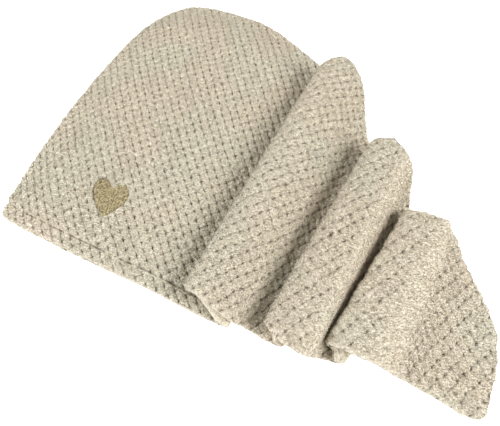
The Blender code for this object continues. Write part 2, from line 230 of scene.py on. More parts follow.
HEART_SINK = 0.0012         # how far the stitches draw the cloth down
HEART_SLOPE = 0.0012        # width of the slope round the heart
HEART_RINGS = 10
ROUGH_OUTLINE = 4           # points to each span of the heart's outline, for the cloth round it
FINE_OUTLINE = 6            # and for its padding and stitches
THREAD = 0.00075            # distance between satin stitches
STITCH_LENGTH = 0.0060
STITCH_TURN = -0.10         # turn of the stitches from the line that is square to the hem
STITCH_REACH = 0.6          # how far from the heart's middle they are sought, as a share of its size
STITCH_CHECK = 0.0002       # distance between the places that are tried along a row
STITCH_LIFT = (0.0004, 0.0005)  # least height above the cloth, and how much more it may be
STITCH_FILL = 1.15          # stitches are drawn this much larger, so that they close up
PADDING = 0.0005            # half thickness of the heart's padding
PADDING_RIM = (0.8, 0.1)    # share of it that is left at the last two rings

# The raised pile: loops of yarn that lean every way
LOOP_GAP = 0.00060          # least distance between two loops
LOOPS_PER_METRE = 1.85e6    # most loops to a square metre, before the least distance thins them
LOOP_WIDTH = 0.00070
LOOP_HEIGHT = 0.00115
LOOP_LEAN = 1.0             # farthest lean from upright, in radians
LEAST_LOOP = (0.7, 0.7, 0.6)    # least and greatest share of its size that a loop has
GREATEST_LOOP = (1.3, 1.3, 1.4)
LOOP_CORNERS = 12           # of the four triangles of a three-sided cone
PRESSED_LOOPS = 0.25        # share of the loops that is missing where the pile lies flat
PIT_LOOPS = 0.9             # and down in a pit
GROOVE_LOOPS = 0.5          # how bare a groove is, next to a pit's 1
RIM_FADE = 1.6              # how much faster than the wall the loops thin out towards an edge

# Where the photograph was taken from, in the towel's frame
CAMERA_PLACE = (0.0444, -0.1509, 0.2616)
CAMERA_AIM = (-0.0053, -0.0473, 0.0)
CAMERA_LENS = 27.45
CAMERA_FILM = 36.0

# Sizes of the surface's marks in metres. A span is how far from its middle, to each side, the noise
# runs from one tint to the other.
TINT_SIZE = 0.050
TINT_SPAN = 0.12
SPECK_SIZE = 0.0011
SPECK_SPAN = 0.10
STRAND_SIZE = 0.0010
STRAND_SPAN = 0.12
FRAY_SIZE = 0.0017
FRAY = 0.34                 # how far a pit's outline strays, as a share of the way to the next
PIT_FADE = (0.3, 1.25)      # where a pit's painted shade begins to fade and ends, in half widths
GROOVE_FADE = 0.15          # where a groove's painted shade begins to fade, up to GROOVE_REACH
YARN_SIZE = 0.0014
YARN_BUMP = 0.0013          # height that the surface's bumps seem to have
PIT_BUMP = -0.8             # depth of a pit there, next to the yarn's 1

FLEECE_WARM = "F7EAD4"
FLEECE_COOL = "F1ECD7"
FLEECE_SHADE = "CFC2A8"
# painted shade, mixed into the fleece down in its pits and grooves and along its creases
FLEECE_PIT_SHADE = "6A5536"
THREAD_LIGHT = "CBBD95"
THREAD_DARK = "857552"
FLOOR_REACH = 3.0
FLOOR_WHITE = "FFFFFF"
SURROUND = "FFFFFF"
SURROUND_STRENGTH = 0.30
FLOOR_GLOW = 0.50           # the white floor glows by itself, so that it shows hardly any shadow

# Each lamp's name, place, width, power in watts and colour; each is turned to the frame's origin
LAMPS = (
    ("right_lamp", (1.20, 0.15, 0.90), 0.8, 20.4, "F6F9FF"),
    ("left_lamp", (-1.10, -0.50, 0.90), 0.8, 19.4, "F4F8FF"),
)

# A rib's eight numbers: its hem end, its crown end, how far it bows and how far the hood is open
HEM = slice(0, 3)
TOP = slice(3, 6)
BOW = 6
HOLLOW = 7

# The cuts of cloth: the sections that each covers, the rounding of its hem side, crown side, left
# end and right end, and where it starts and stops from the hem edge, None being the crown seam
CUTS = {
    "hood": (slice(0, 1), (SEWN_EDGE, FREE_EDGE, FREE_EDGE, NO_EDGE), HEM_WIDTH - SEAM_GAP, None),
    "tail": (slice(1, None), (FREE_EDGE, FREE_EDGE, NO_EDGE, FREE_EDGE), 0, None),
    "hem": (slice(0, 1), (FREE_EDGE, SEWN_EDGE, FREE_EDGE, NO_EDGE), 0, HEM_WIDTH),
}
SHEETS = ("hood_front", "tail_front", "hood_back", "tail_back", "hem_front", "hem_back")
STANDS_FOR = {
    "hood_front": "front_panel", "tail_front": "front_panel", "hood_pile": "front_panel",
    "tail_pile": "front_panel", "hood_back": "back_panel", "tail_back": "back_panel",
    "hem_front": "front_hem", "hem_pile": "front_hem", "hem_back": "back_hem",
    "heart_ground": "heart_patch", "heart_stitches": "heart_patch",
}


def smooth_step(share):
    return share * share * (3 - 2 * share)


def catmull_rom(rows, steps):
    """Rows on a smooth curve through the given rows, with `steps` to each span."""
    rows = np.asarray(rows, float)
    before = 2 * rows[0] - rows[1]
    after = 2 * rows[-1] - rows[-2]
    ends = np.vstack([before, rows, after])
    curve = []
    for index in range(len(rows) - 1):
        a, b, c, d = ends[index:index + 4]
        for t in np.arange(steps) / steps:
            cubic = (3 * b - a - 3 * c + d) * t + (2 * a - 5 * b + 4 * c - d)
            curve.append(b + 0.5 * t * ((c - a) + cubic * t))
    curve.append(rows[-1])
    return np.array(curve)


def named(columns, rows):
    """A table's rows, each with its values by the names of the columns."""
    return [dict(zip(columns, values)) for values in rows]


def hood_ribs():
    ribs = []
    for row in named(HOOD_COLUMNS, HOOD):
        ribs.append([row["hem_x"] * FOLDED_LENGTH, row["hem_y"] * HOOD_DEPTH, LAYER_HALF,
                     row["top_x"] * FOLDED_LENGTH, row["top_y"] * HOOD_DEPTH, LAYER_HALF,
                     row["bow"] * HOOD_DEPTH, row["hollow"]])
    return ribs


def fold_end(columns):
    """Sizes in metres of one end of a fold, hem or top."""
    size = dict(zip(FOLD_COLUMNS, columns))
    for name in ("valley_x", "edge_x", "run"):
        size[name] *= FOLDED_LENGTH
    for name in ("valley_y", "edge_y", "crest_y"):
        size[name] *= HOOD_DEPTH
    size["roll"] *= ROLL_RADIUS
    size["under"] = LAYER_HALF + 2 * FOLD_RADIUS
    size["edge_low"] = size["under"] + size["rise"] * PLEAT_SAG
    size["edge_z"] = size["edge_low"] + size["roll"]
    size["crest_z"] = size["edge_z"] + size["loft"] * PLEAT_LOFT
    return size


def valley_point(end, turn):
    """Point of the valley's half circle; turn runs 0 to 1 from the surface up and back."""
    angle = pi * (turn - 0.5)
    return [end["valley_x"] - FOLD_RADIUS + FOLD_RADIUS * cos(angle), end["valley_y"],
            LAYER_HALF + FOLD_RADIUS + FOLD_RADIUS * sin(angle)]


def back_point(end, share):
    """Point of the hidden layer between the valley and the rolled edge."""
    start_x = end["valley_x"] - FOLD_RADIUS
    stop_x = end["edge_x"] + end["roll"]
    return [start_x + (stop_x - start_x) * share,
            end["valley_y"] + (end["edge_y"] - end["valley_y"]) * share,
            end["under"] + (end["edge_low"] - end["under"]) * smooth_step(share)]


def edge_point(end, turn):
    """Point of the rolled edge: a quarter circle out to the edge, then a quarter ellipse to the crest."""
    angle = pi * (turn + 0.5)
    if turn <= 0.5:
        reach, height, drift = end["roll"], end["roll"], 0.0
    else:
        reach, height, drift = end["run"], end["crest_z"] - end["edge_z"], 2 * turn - 1
    return [end["edge_x"] + reach + reach * cos(angle),
            end["edge_y"] + (end["crest_y"] - end["edge_y"]) * drift,
            end["edge_z"] - height * sin(angle)]


def paired_rib(hem, top):
    """A straight rib with the panels closed on one another."""
    return hem + top + [0.0, 0.0]


def fold_ribs(fold, place):
    """Ribs along one of a fold's curves."""
    turns = np.linspace(0, 1, 4 * RIB_STEPS + 1)
    return [paired_rib(place(fold["hem"], turn), place(fold["top"], turn)) for turn in turns]


def slope_ribs(fold, rows):
    """Ribs from a fold's crest down to where the towel lies on the surface again."""
    ribs = []
    for row in named(SLOPE_COLUMNS, rows):
        ends = []
        for side in ("hem", "top"):
            rise = (fold[side]["crest_z"] - LAYER_HALF) * row[side + "_lift"]
            ends.append([row[side + "_x"] * FOLDED_LENGTH, row[side + "_y"] * HOOD_DEPTH,
                         LAYER_HALF + rise])
        ribs.append(paired_rib(*ends))
    return ribs


def edge_ring(edge):
    """Distances from an edge at which its rounding is drawn, the edge's whole width last."""
    width = edge[0]
    if not width:
        return np.zeros(1)
    return width * (1 - np.cos(np.linspace(0, pi / 2, EDGE_RINGS + 1)))


def rib_run(ribs):
    """Distance of every rib from the first, along the middle of the towel."""
    middle = (ribs[:, HEM] + ribs[:, TOP]) / 2
    return np.concatenate([[0], np.cumsum(np.linalg.norm(np.diff(middle, axis=0), axis=1))])


def evenly(ribs, step, first_edge=False, last_edge=False):
    """The same ribs a step apart, and closer together at a rounded edge."""
    run = rib_run(ribs)
    start_ring = edge_ring(FREE_EDGE if first_edge else NO_EDGE)
    end_ring = edge_ring(FREE_EDGE if last_edge else NO_EDGE)
    start, stop = start_ring[-1], run[-1] - end_ring[-1]
    even = np.linspace(start, stop, round((stop - start) / step) + 1)
    at = np.concatenate([start_ring[:-1], even, run[-1] - end_ring[-2::-1]])
    return np.stack([np.interp(at, run, column) for column in ribs.T], axis=1)


def towel_sections():
    """The towel's ribs from left to right: the hood, then each pleat's hidden turn and open face."""
    sections = []
    run = hood_ribs()
    face = []
    for columns, rows in zip(FOLDS, SLOPES):
        fold = {side: fold_end(columns[side]) for side in ("hem", "top")}
        valley = paired_rib(valley_point(fold["hem"], 0), valley_point(fold["top"], 0))
        sections.append(np.array(face + list(catmull_rom(run + [valley], RIB_STEPS))))
        sections.append(np.array(fold_ribs(fold, valley_point)[:-1] + fold_ribs(fold, back_point)))
        face = fold_ribs(fold, edge_point)
        run = [face.pop()] + slope_ribs(fold, rows)
    sections.append(np.array(face + list(catmull_rom(run, RIB_STEPS))))
    return sections


def rib_lengths(ribs):
    return ribs[:, TOP][:, 1] - ribs[:, HEM][:, 1]


def middle_points(ribs, shares):
    """Points of the towel's middle: one row for each rib, at the rib's own shares of its length."""
    hem = ribs[:, None, HEM]
    top = ribs[:, None, TOP]
    points = hem + (top - hem) * shares[..., None]
    points[..., 0] += ribs[:, None, BOW] * 4 * shares * (1 - shares)
    points[..., 2] = np.maximum(points[..., 2], LAYER_HALF)
    return points


def layer_normals(ribs):
    """Upward side of the towel at every rib, as the ribs run straight across it."""
    middle = (ribs[:, HEM] + ribs[:, TOP]) / 2
    middle[:, 1] = 0
    middle[:, 2] = np.maximum(middle[:, 2], LAYER_HALF)
    along = np.gradient(middle, axis=0)
    normals = np.stack([-along[:, 2], np.zeros(len(along)), along[:, 0]], axis=1)
    return normals / np.linalg.norm(normals, axis=1)[:, None]


def mound(points, size):
    """Share, from 0 to 1, of a long mound's height at each point."""
    turn = size["turn"]
    from_x = points[..., 0] - size["x"] * FOLDED_LENGTH
    from_y = points[..., 1] - size["y"] * HOOD_DEPTH
    along = (from_x * cos(turn) + from_y * sin(turn)) / (size["length"] * FOLDED_LENGTH)
    across = (from_y * cos(turn) - from_x * sin(turn)) / (size["width"] * HOOD_DEPTH)
    return np.exp(-along ** 2 - across ** 2)


def dent_depth(points):
    """How far the hood's front is pressed in at each point."""
    dents = named(DENT_COLUMNS, DENTS)
    return sum(dent["depth"] * HOLLOW_HEIGHT * mound(points, dent) for dent in dents)


def swell_height(points):
    """How far the tail's open face is raised at each point."""
    return sum(swell["height"] * mound(points, swell) for swell in named(SWELL_COLUMNS, SWELLS))


def hollow_height(ribs, shares, points):
    """Distance between the panels: the hood stands open, its seams and the tail lie closed."""
    from_hem = shares * rib_lengths(ribs)[:, None]
    from_top = (1 - shares) * rib_lengths(ribs)[:, None]
    closing = smooth_step(np.clip(from_top / CROWN_REACH, 0, 1))
    opening = smooth_step(np.clip(from_hem / MOUTH_REACH, 0, 1))
    opening = MOUTH_SHARE + (1 - MOUTH_SHARE) * opening
    open_share = ribs[:, HOLLOW][:, None] * closing * opening
    height = open_share * (HOLLOW_HEIGHT - dent_depth(points))
    return SEAM_GAP + np.maximum(height, 0)


def wall_share(distance, edge):
    """Share of the wall left at a distance from an edge."""
    width, least = edge
    if not width:
        return np.ones(distance.shape)
    near = np.clip(1 - distance / width, 0, 1)
    return least + (1 - least) * np.sqrt(1 - near ** 2)


def layer_faces(ribs, shares, side, wall):
    """Inner and outer faces of one layer; side is 1 for the front and -1 for the back."""
    points = middle_points(ribs, shares)
    gap = hollow_height(ribs, shares, points)
    normals = layer_normals(ribs)[:, None, :]
    points[..., 2] += (gap - SEAM_GAP) / 2
    inner = points + side * normals * (gap / 2)[..., None]
    outer = inner + side * normals * wall[..., None]
    return inner, outer


def is_hidden(index):
    """Whether a section is a pleat's hidden turn; the hood and the open faces are the even ones."""
    return index % 2 == 1


def pleat_of(index):
    """Which pleat a section belongs to, 0 being the hood."""
    return (index + 1) // 2


class Layout:
    """One side's sections of ribs, with the cloth's own distance along them.

    side is 1 for the front and -1 for the back."""

    def __init__(self, side, step):
        raw = towel_sections()
        self.side = side
        self.step = step
        self.sections = []
        for index, ribs in enumerate(raw):
            self.sections.append(evenly(ribs, HIDDEN_STEP if is_hidden(index) else step,
                                        first_edge=index == 0, last_edge=index == len(raw) - 1))
        self.levels = np.linspace(*RUN_LEVELS)
        self.along = []
        reached = np.zeros(len(self.levels))
        for index, ribs in enumerate(self.sections):
            shares = (self.levels - ribs[:, HEM][:, 1:2]) / rib_lengths(ribs)[:, None]
            apart = np.diff(middle_points(ribs, shares), axis=0)
            moved = np.hypot(apart[..., 0], apart[..., 2]) / FOLD_STRETCH[pleat_of(index)]
            along = np.vstack([reached, reached + np.cumsum(moved, axis=0)])
            self.along.append(along)
            reached = along[-1]

    def cloth_place(self, index, points):
        """Distance along and across the cloth of a section's points, by its cells' own measure."""
        along = np.empty(points.shape[:2])
        for rib in range(len(points)):
            along[rib] = np.interp(points[rib, :, 1], self.levels, self.along[index][rib])
        lean = -1 if index else 1       # on the tail the main grooves lean the other way
        return along, lean * points[..., 1] / FOLD_STRETCH[pleat_of(index)]


def chance(i, j, seed):
    """A steady random number from 0 to 1 for each pair of whole numbers. The numbers in it have no
    meaning, and only mix the three well."""
    value = np.sin(i * 127.1 + j * 311.7 + seed * 74.7) * 43758.5453
    return value - np.floor(value)


def soft_noise(along, across, size, seed):
    """Smooth noise from -1 to 1 with lumps of the given size."""
    u, v = along / size, across / size
    i, j = np.floor(u), np.floor(v)
    a, b = smooth_step(u - i), smooth_step(v - j)
    low = chance(i, j, seed) * (1 - a) + chance(i + 1, j, seed) * a
    high = chance(i, j + 1, seed) * (1 - a) + chance(i + 1, j + 1, seed) * a
    return 2 * (low * (1 - b) + high * b) - 1


def cell_places(along, across, drift):
    """Places on the lattice of pits, which lie at whole numbers, drifting as the knitting does."""
    s = along / CELL_ALONG + across / CELL_ACROSS
    t = along / CELL_ALONG - across / CELL_ACROSS
    s = s + drift * soft_noise(along, across, DRIFT_SIZE, seed=1)
    t = t + drift * soft_noise(along, across, DRIFT_SIZE, seed=2)
    return s, t


def lattice(s, t):
    """Depth of the pits and of the grooves that join them, the tufts between, and each pit's strength."""
    near_s, near_t = np.round(s), np.round(t)
    off_s, off_t = s - near_s, t - near_t
    strength = PIT_STRENGTH[0] + PIT_STRENGTH[1] * chance(near_s, near_t, seed=5)
    pits = strength * np.exp(-(off_s / PIT_WIDE) ** 2 - (off_t / PIT_LONG) ** 2)
    groove = chance(near_s, np.floor(t), seed=6) * np.exp(-(off_s / GROOVE_WIDE) ** 2)
    cross = CROSS_GROOVE * chance(np.floor(s), near_t, seed=7) * np.exp(-(off_t / GROOVE_WIDE) ** 2)
    tufts = np.abs(np.sin(pi * s) * np.sin(pi * t)) ** TUFT_POWER
    return pits, np.maximum(groove, cross), tufts, strength


def smooth_share(points, pleat):
    """How far the pile is pressed smooth at each point of a pleat."""
    share = np.zeros(points.shape[:2])
    for band in named(SMOOTH_COLUMNS, SMOOTH_BANDS):
        if band["pleat"] != pleat:
            continue
        hem_y = band["hem_y"] * HOOD_DEPTH
        up = np.clip((points[..., 1] - hem_y) / (band["top_y"] * HOOD_DEPTH - hem_y), 0, 1)
        centre = FOLDED_LENGTH * (band["hem_x"] + (band["top_x"] - band["hem_x"]) * up)
        half = band["hem_half"] + (band["top_half"] - band["hem_half"]) * up
        share = np.maximum(share, np.exp(-((points[..., 0] - centre) / half) ** 4))
    return share


def outward(points):
    """Normals of a grid of points, on the side that the grid's rows turn round."""
    along = np.gradient(points, axis=0)
    up = np.gradient(points, axis=1)
    normals = np.cross(along, up)
    return normals / np.maximum(np.linalg.norm(normals, axis=2), 1e-12)[..., None]


def raise_pile(points, along, across, drift, side, flat, wall):
    """Points lifted into tufts and sunk into pits, each one's place on the lattice, and how bare of
    loops the pits and grooves leave it."""
    s, t = cell_places(along, across, drift)
    pits, grooves, tufts, strength = lattice(s, t)
    relief = TUFT_LIFT * (tufts - 0.5) - GROOVE_DEPTH * grooves - PIT_DEPTH * pits
    relief *= 1 - PRESSED_RELIEF * flat
    for seed, (size, lift) in enumerate(zip(CURL_SIZES, CURL_LIFTS), start=20):
        relief += lift * (1 - PRESSED_CURLS * flat) * soft_noise(along, across, size, seed)
    relief = np.maximum(relief, -MOST_SUNK * wall)
    cells = np.stack([s, t, strength * (1 - flat)], axis=2)
    bare = np.maximum(pits, GROOVE_LOOPS * grooves)
    return points + side * outward(points) * relief[..., None], cells, bare


def spread(count, skip):
    """Every `skip`-th place of a row, with its last one."""
    places = list(range(0, count - 1, skip))
    return np.array(places + [count - 1])


def sheet_mesh(name, outer, inner, cells, pile, side):
    """Closed shell of one layer: a fine outer face, a coarser lining and the rim between them."""
    rows, columns = outer.shape[:2]
    rib_places, row_places = spread(rows, LINING_SKIP), spread(columns, LINING_SKIP)
    lining = inner[np.ix_(rib_places, row_places)]
    verts = np.concatenate([outer.reshape(-1, 3), lining.reshape(-1, 3)])
    shift = rows * columns
    wide = len(row_places)

    corner = (np.arange(rows - 1)[:, None] * columns + np.arange(columns - 1)[None, :]).ravel()
    fine = np.stack([corner, corner + columns, corner + columns + 1, corner + 1], axis=1)
    corner = (np.arange(len(rib_places) - 1)[:, None] * wide + np.arange(wide - 1)[None, :]).ravel()
    corner = corner + shift
    back = np.stack([corner, corner + 1, corner + wide + 1, corner + wide], axis=1)
    faces = fine.tolist() + back.tolist()

    def outer_place(rib, row):
        return int(rib * columns + row)

    def lining_place(rib, row):
        return int(shift + np.searchsorted(rib_places, rib) * wide + np.searchsorted(row_places, row))

    corners = [(rib, 0) for rib in rib_places[:-1]]
    corners += [(rib_places[-1], row) for row in row_places[:-1]]
    corners += [(rib, row_places[-1]) for rib in rib_places[:0:-1]]
    corners += [(0, row) for row in row_places[:0:-1]]
    for (rib, row), (next_rib, next_row) in zip(corners, corners[1:] + corners[:1]):
        count = max(abs(next_rib - rib), abs(next_row - row))
        edge = [outer_place(rib + (next_rib - rib) * k // count, row + (next_row - row) * k // count)
                for k in range(count + 1)]
        faces.append(edge[::-1] + [lining_place(rib, row), lining_place(next_rib, next_row)])
    if side < 0:
        faces = [face[::-1] for face in faces]

    mesh = mesh_from(name, verts, faces)
    cells = [cells.reshape(-1, 3), cells[np.ix_(rib_places, row_places)].reshape(-1, 3)]
    keep_values(mesh, "cell", np.concatenate(cells))
    keep_values(mesh, "pile", np.concatenate([pile.ravel(), np.zeros(len(verts) - shift)]))
    bake_map(mesh, rows, columns, rib_places, row_places)
    return mesh


def mesh_from(name, verts, faces):
    mesh = bpy.data.meshes.new(name)
    mesh.from_pydata(verts, [], faces)
    mesh.shade_smooth()
    return mesh


def keep_values(mesh, name, values):
    """Keeps a number or a vector with each point of the mesh."""
    values = np.asarray(values, float)
    kind, field = ("FLOAT", "value") if values.ndim == 1 else ("FLOAT_VECTOR", "vector")
    mesh.attributes.new(name, kind, "POINT").data.foreach_set(field, values.ravel())


def lay_flat(mesh, places):
    """Gives the mesh its map for surface images: a flat place for each corner of its faces."""
    layer = mesh.uv_layers.new(name="OFBake")
    layer.uv.foreach_set("vector", places.astype(np.float32).ravel())


def bake_map(mesh, rows, columns, rib_places, row_places):
    """Flat map of a shell: the outer face on the left, the lining on the right."""
    grid = np.stack(np.meshgrid(np.linspace(MAP_MARGIN, OUTER_SHARE - MAP_MARGIN, rows),
                                np.linspace(MAP_MARGIN, 1 - MAP_MARGIN, columns), indexing="ij"), axis=2)
    lining = grid[np.ix_(rib_places, row_places)] * (1 - OUTER_SHARE, 1) + (OUTER_SHARE, 0)
    flat = np.concatenate([grid.reshape(-1, 2), lining.reshape(-1, 2)])
    shift = rows * columns
    corners = np.empty(len(mesh.loops), int)
    mesh.loops.foreach_get("vertex_index", corners)
    places = flat[corners]
    starts = np.empty(len(mesh.polygons), int)
    mesh.polygons.foreach_get("loop_start", starts)
    counts = np.empty(len(mesh.polygons), int)
    mesh.polygons.foreach_get("loop_total", counts)
    for start, count in zip(starts, counts):
        inner = corners[start:start + count] >= shift
        if inner.any() and not inner.all():
            places[start:start + count][inner] = places[start:start + count][~inner][[-1, 0]]
    lay_flat(mesh, places)


def add_object(name, data):
    thing = bpy.data.objects.new(name, data)
    bpy.context.scene.collection.objects.link(thing)
    return thing


def add_piece(mesh, material, node):
    """The mesh as a piece at the origin that stands for the given node of the model."""
    mesh.materials.clear()
    mesh.materials.append(material)
    piece = add_object(mesh.name, mesh)
    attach(piece, "root")
    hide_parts(node)
    return piece


def lay_sheet(name, layout, cut):
    """One layer of cloth, laid on the layout's ribs by its cut."""
    covered, (hem_edge, crown_edge, left_edge, right_edge), low, high = cut
    side = layout.side
    sections = range(len(layout.sections))[covered]
    parts = [layout.sections[index] for index in sections]
    ribs = np.vstack([parts[0]] + [part[1:] for part in parts[1:]])
    width = rib_lengths(ribs)
    setback = (MOUTH_SETBACK if side < 0 else 0) * ribs[:, HOLLOW]
    low = setback + low
    high = width if high is None else setback + high
    hem_ring, crown_ring = edge_ring(hem_edge), edge_ring(crown_edge)
    even = np.linspace(0, 1, max(round(np.median(high - low) / layout.step), 2) + 1)
    start, stop = low + hem_ring[-1], high - crown_ring[-1]
    rows = np.hstack([low[:, None] + hem_ring[:-1], start[:, None] + (stop - start)[:, None] * even,
                      high[:, None] - crown_ring[-2::-1]])
    shares = rows / width[:, None]
    run = rib_run(ribs)[:, None] + np.zeros(rows.shape)
    edges = ((hem_edge, rows - low[:, None]), (crown_edge, high[:, None] - rows),
             (left_edge, run), (right_edge, run[-1] - run))
    wall = PANEL_WALL * np.min([wall_share(far, edge) for edge, far in edges], axis=0)
    inner, outer = layer_faces(ribs, shares, side, wall)

    along, across = np.empty(rows.shape), np.empty(rows.shape)
    bare, flat, drift, strength = (np.zeros(rows.shape) for each in range(4))
    first = 0
    for index in sections:
        last = first + len(layout.sections[index])
        along[first:last], across[first:last] = layout.cloth_place(index, outer[first:last])
        drift[first:last] = FOLD_DRIFT[pleat_of(index)]
        strength[first:last] = FOLD_PITS[pleat_of(index)]
        if is_hidden(index):
            near_end = np.minimum(run[first:last] - run[first], run[last - 1] - run[first:last])
            bare[first:last] = smooth_step(np.clip((near_end - OPEN_REACH) / OPEN_REACH, 0, 1))
        elif side > 0:
            flat[first:last] = smooth_share(outer[first:last], pleat_of(index))
        if side > 0 and index == len(layout.sections) - 1:
            outer[first:last, :, 2] += swell_height(outer[first:last])
        first = last - 1
    # Painted shade along the hem's seam, varying in lumps; it also thins the loops there
    crease = np.zeros(rows.shape)
    lumps = soft_noise(along, np.zeros(rows.shape), CREASE_LUMP, seed=31)
    dark = CREASE_SHADE[0] + CREASE_SHADE[1] * lumps
    for edge, far in edges:
        if edge == SEWN_EDGE:
            crease = np.maximum(crease, dark * np.clip(1 - far / CREASE_WIDTH, 0, 1))
    if side > 0:
        # the heart sinks the cloth, and painted shade darkens the crease round it
        sunk, heart_shade = heart_marks(outer)
        crease = np.maximum(crease, heart_shade)
        bare = np.maximum(bare, sunk)
        outer = outer - (0, 0, HEART_SINK) * sunk[..., None]
    flat = np.maximum(flat, bare)
    outer, cells, dips = raise_pile(outer, along, across, drift, side, flat, wall)
    if side < 0:
        outer[..., 2] = np.maximum(outer[..., 2], 0)    # the pile is pressed flat on the surface
    cells[..., 2] *= strength
    cells[..., 2] += crease * (2 - cells[..., 2])       # up to 1 is how dark a pit's painted shade is, up to 2 a crease's painted shade
    pile = (1 - bare) * (1 - PRESSED_LOOPS * flat) * (1 - PIT_LOOPS * np.clip(dips, 0, 1))
    pile *= (1 - crease) * np.clip(1 - RIM_FADE * (1 - wall / PANEL_WALL), 0, 1)
    return sheet_mesh(name, outer, inner, cells, pile, side)


def heart_outline(steps):
    """Points round the heart on the flat, in the ribs' own frame."""
    right = catmull_rom(HEART, steps)
    left = right[-2:0:-1] * (-1, 1)
    outline = np.concatenate([right, left]) * (HEART_WIDTH, HEART_HEIGHT)
    outline[:, 0] += HEART_LEAN * outline[:, 1]
    turn = np.array([[cos(HEART_TURN), -sin(HEART_TURN)], [sin(HEART_TURN), cos(HEART_TURN)]])
    return outline @ turn.T + (HEART_FROM_CORNER, HEART_FROM_HEM)


def outline_distance(places, outline):
    """Distance of flat places from a closed outline, positive inside."""
    ends = np.roll(outline, -1, axis=0)
    nearest = np.full(len(places), np.inf)
    inside = np.zeros(len(places), bool)
    for (ax, ay), (bx, by) in zip(outline, ends):
        dx, dy = bx - ax, by - ay
        share = ((places[:, 0] - ax) * dx + (places[:, 1] - ay) * dy) / (dx * dx + dy * dy)
        share = np.clip(share, 0, 1)
        gap = np.hypot(places[:, 0] - ax - share * dx, places[:, 1] - ay - share * dy)
        nearest = np.minimum(nearest, gap)
        spans = (ay > places[:, 1]) != (by > places[:, 1])
        if dy:
            inside ^= spans & (places[:, 0] < ax + dx * (places[:, 1] - ay) / dy)
    return np.where(inside, nearest, -nearest)


def heart_marks(points):
    """How far each point lies in the hollow that the heart is sewn into, from 0 to 1, and how dark
    the painted shade is in the crease where the cloth dips to the heart's edge, darkest on its left."""
    off_x, off_y = points[..., 0] - HEART_FROM_CORNER, points[..., 1] - HEART_FROM_HEM
    near = (np.abs(off_x) < HEART_WIDTH) & (np.abs(off_y) < HEART_HEIGHT)
    distance = np.full(near.shape, -np.inf)
    if near.any():
        distance[near] = outline_distance(points[near][:, :2], heart_outline(ROUGH_OUTLINE))
    sunk = smooth_step(np.clip(distance / HEART_SLOPE + 1, 0, 1))
    right = smooth_step(np.clip(off_x / HEART_WIDTH + 0.5, 0, 1))
    dark = HEART_EDGE_SHADE[0] + (HEART_EDGE_SHADE[1] - HEART_EDGE_SHADE[0]) * right
    return sunk, dark * np.clip(1 - np.abs(distance) / HEART_CREASE_WIDTH, 0, 1)


def heart_ground(front):
    """The heart's padding, a thin solid that follows the cloth beneath it."""
    outline = heart_outline(FINE_OUTLINE)
    centre = outline.mean(axis=0)
    rings = [centre + (outline - centre) * ring / HEART_RINGS for ring in range(1, HEART_RINGS + 1)]
    flat = np.concatenate([centre[None, :]] + rings)
    ground = np.array([cloth_height(front, x, y) for x, y in flat])
    count = len(outline)
    dome = np.ones(len(flat))
    dome[-2 * count:-count], dome[-count:] = PADDING_RIM
    low = np.column_stack([flat, ground - PADDING])
    high = np.column_stack([flat, ground + PADDING * dome])
    shift = len(flat)
    faces = []
    for point in range(count):
        after = (point + 1) % count
        faces.append((0, 1 + point, 1 + after))
        faces.append((shift, shift + 1 + after, shift + 1 + point))
        for ring in range(1, HEART_RINGS):
            a, b = 1 + (ring - 1) * count, 1 + ring * count
            faces.append((a + point, b + point, b + after, a + after))
            faces.append((shift + a + point, shift + a + after, shift + b + after, shift + b + point))
        rim = 1 + (HEART_RINGS - 1) * count
        faces.append((rim + point, shift + rim + point, shift + rim + after, rim + after))
    return mesh_from("heart_ground", np.concatenate([low, high]), faces)


def cloth_height(front, x, y):
    """Height of the front panel at a place of the plan."""
    hit = front.ray_cast(Vector((x, y, FOLDED_LENGTH)), Vector((0, 0, -1)))[0]
    return hit.z if hit else 0.0


def linear(code):
    """An sRGB hex colour as linear red, green, blue and alpha."""
    parts = [int(code[k:k + 2], 16) / 255 for k in (0, 2, 4)]
    return tuple(p / 12.92 if p <= 0.04045 else ((p + 0.055) / 1.055) ** 2.4 for p in parts) + (1.0,)


def add_node(tree, kind, links=(), **settings):
    """A node with its settings and its inputs' values or links."""
    node = tree.nodes.new(kind)
    for name, value in settings.items():
        setattr(node, name, value)
    for name, value in dict(links).items():
        if isinstance(value, bpy.types.NodeSocket):
            tree.links.new(value, node.inputs[name])
        else:
            node.inputs[name].default_value = value
    return node


def new_material(name, roughness, sheen, specular):
    material = bpy.data.materials.new(name)
    material.use_nodes = True
    shader = material.node_tree.nodes["Principled BSDF"]
    shader.inputs["Roughness"].default_value = roughness
    shader.inputs["Sheen Weight"].default_value = sheen
    shader.inputs["Sheen Roughness"].default_value = 0.6
    shader.inputs["Specular IOR Level"].default_value = specular
    return material, material.node_tree, shader


def mottle(tree, place, size, span, detail=2.0, roughness=0.5):
    """A share that wanders between 0 and 1 in soft lumps of the given size."""
    noise = add_node(tree, "ShaderNodeTexNoise", {"Vector": place, "Scale": 1 / size, "Detail": detail,
                                                  "Roughness": roughness})
    share = add_node(tree, "ShaderNodeMapRange", {"Value": noise.outputs["Fac"], "From Min": 0.5 - span,
                                                  "From Max": 0.5 + span})
    return share.outputs["Result"]


